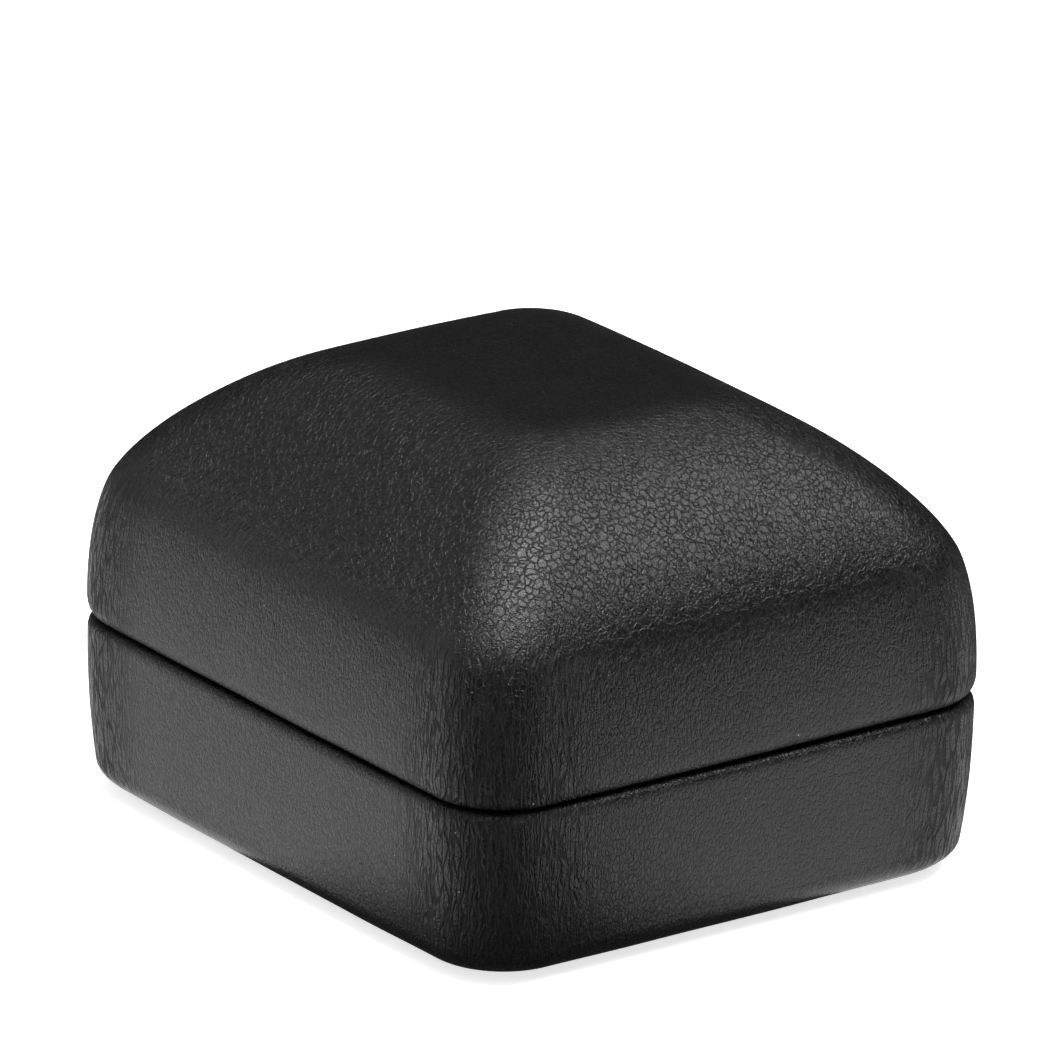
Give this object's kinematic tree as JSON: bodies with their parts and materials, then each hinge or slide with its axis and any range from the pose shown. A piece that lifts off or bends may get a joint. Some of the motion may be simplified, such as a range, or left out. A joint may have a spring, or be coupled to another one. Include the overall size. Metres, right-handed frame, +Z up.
{
  "type": "ring gift box",
  "caption": "Small black leatherette gift box for a ring, with a domed lid on a snap hinge and a velvet insert that grips the ring.",
  "frame": {"origin": "on the surface that the box stands on, under the middle of the box", "axes": "+Z up, +Y towards the hinge at the back, +X to the right when the front faces the viewer"},
  "size_m": [0.0544, 0.0618, 0.0405],
  "materials": {
    "leatherette": "soft matt, fine pebbled grain",
    "moulded_plastic": "moulded, matt",
    "base_card": "flocked card, matt",
    "velvet": "short pile velvet",
    "card": "matt",
    "foam": "open-cell foam",
    "satin": "satin weave",
    "plated_steel": "nickel plated",
    "rivet_steel": "plated",
    "spring_steel": "blued spring strip"
  },
  "bodies": {
    "base": {"base_core": "moulded_plastic", "base_wrap": "leatherette", "base_bottom_panel": "base_card", "base_liner": "velvet", "insert_riser": "card", "insert_board": "card", "insert_velvet": "velvet", "roll_front_foam": "foam", "roll_front_velvet": "velvet", "roll_back_foam": "foam", "roll_back_velvet": "velvet", "hinge_base_leaf": "plated_steel", "hinge_base_rivets": "rivet_steel", "hinge_pin": "rivet_steel", "detent_spring": "spring_steel"},
    "lid": {"lid_core": "moulded_plastic", "lid_wrap": "leatherette", "lid_liner": "velvet", "lid_pad_board": "card", "lid_pad_foam": "foam", "lid_pad_satin": "satin", "hinge_lid_leaf": "plated_steel", "hinge_lid_rivets": "rivet_steel"}
  },
  "joints": [
    {"name": "lid_hinge", "type": "hinge", "parent": "base", "child": "lid", "pos_m": [0, 0.0302, 0.0154], "axis": [-1, 0, 0], "range_deg": [0, 100], "deforming": ["detent_spring"]}
  ]
}
